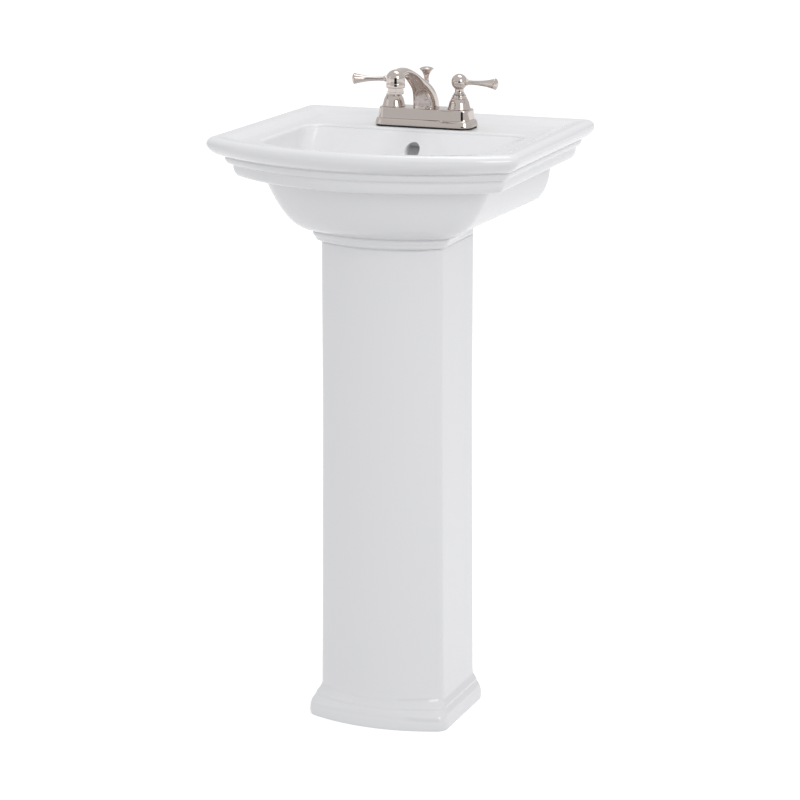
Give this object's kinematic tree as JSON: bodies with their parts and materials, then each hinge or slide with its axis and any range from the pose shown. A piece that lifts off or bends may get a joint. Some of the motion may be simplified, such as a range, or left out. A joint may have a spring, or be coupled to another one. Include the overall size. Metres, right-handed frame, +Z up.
{
  "type": "pedestal sink",
  "caption": "Bathroom pedestal sink: bow-fronted china basin with a stepped rim on a china pedestal, with a lever-handled faucet, pop-up drain and trap.",
  "frame": {"origin": "on the floor, at the middle of the whole object's footprint; the wall is the plane y = +0.22", "axes": "+Z up, -Y towards the user, +Y to the wall, +X to the user's right"},
  "size_m": [0.4638, 0.4399, 0.9507],
  "materials": {
    "glazed_china": "glossy white glaze",
    "polished_nickel": "polished nickel plate",
    "cast_brass": "rough cast and turned",
    "steel": "zinc plated and stainless",
    "chromed_tube": "bright chrome plate",
    "rubber": "matt black",
    "white_plastic": "moulded white"
  },
  "bodies": {
    "sink": {"basin": "glazed_china", "pedestal": "glazed_china", "faucet_cover": "polished_nickel", "spout": "polished_nickel", "aerator_housing": "polished_nickel", "left_bonnet": "polished_nickel", "right_bonnet": "polished_nickel", "drain_flange": "polished_nickel", "faucet_bridge": "cast_brass", "left_valve_body": "cast_brass", "right_valve_body": "cast_brass", "left_shank_nut": "cast_brass", "right_shank_nut": "cast_brass", "drain_body": "cast_brass", "drain_locknut": "cast_brass", "pivot_nut": "cast_brass", "spout_screw": "steel", "left_shank_washer": "steel", "right_shank_washer": "steel", "drain_washer": "steel", "tailpiece": "chromed_tube", "trap_bend_tube": "chromed_tube", "trap_arm": "chromed_tube", "trap_inlet_nut": "chromed_tube", "trap_outlet_nut": "chromed_tube", "faucet_gasket": "rubber", "aerator_washer": "rubber", "drain_gasket": "rubber", "left_cartridge": "white_plastic", "right_cartridge": "white_plastic", "aerator_screen": "white_plastic", "pivot_seat": "white_plastic", "trap_inlet_washer": "white_plastic", "trap_outlet_washer": "white_plastic"},
    "left_handle": {"left_valve_stem": "cast_brass", "left_handle_hub": "polished_nickel", "left_lever": "polished_nickel", "left_set_screw": "steel"},
    "right_handle": {"right_valve_stem": "cast_brass", "right_handle_hub": "polished_nickel", "right_lever": "polished_nickel", "right_set_screw": "steel"},
    "lift": {"lift_knob": "polished_nickel", "lift_rod": "polished_nickel", "lift_strap": "steel", "clevis_screw": "steel"},
    "pivot": {"pivot_rod": "steel", "spring_clip": "steel"},
    "stopper": {"stopper_cap": "polished_nickel", "stopper_seal": "rubber", "stopper_stem": "white_plastic"}
  },
  "joints": [
    {"name": "left_handle_turn", "type": "hinge", "parent": "sink", "child": "left_handle", "pos_m": [-0.0508, 0.122, 0.9205], "axis": [0, 0, 1], "range_deg": [-20, 70]},
    {"name": "right_handle_turn", "type": "hinge", "parent": "sink", "child": "right_handle", "pos_m": [0.0508, 0.122, 0.9205], "axis": [0, 0, 1], "range_deg": [-84, 6]},
    {"name": "lift_slide", "type": "slide", "parent": "sink", "child": "lift", "axis": [0, 0, 1], "range_m": [0, 0.028]},
    {"name": "pivot_tilt", "type": "hinge", "parent": "sink", "child": "pivot", "pos_m": [0, 0.014, 0.665], "axis": [1, 0, 0], "range_deg": [0, 14.05]},
    {"name": "stopper_slide", "type": "slide", "parent": "sink", "child": "stopper", "axis": [0, 0, 1], "range_m": [-0.00592, 0]}
  ],
  "couplings": [
    {"joint": "pivot_tilt", "follows": "lift_slide", "rad_per_m": 8.7282},
    {"joint": "stopper_slide", "follows": "lift_slide", "ratio": -0.21053}
  ]
}
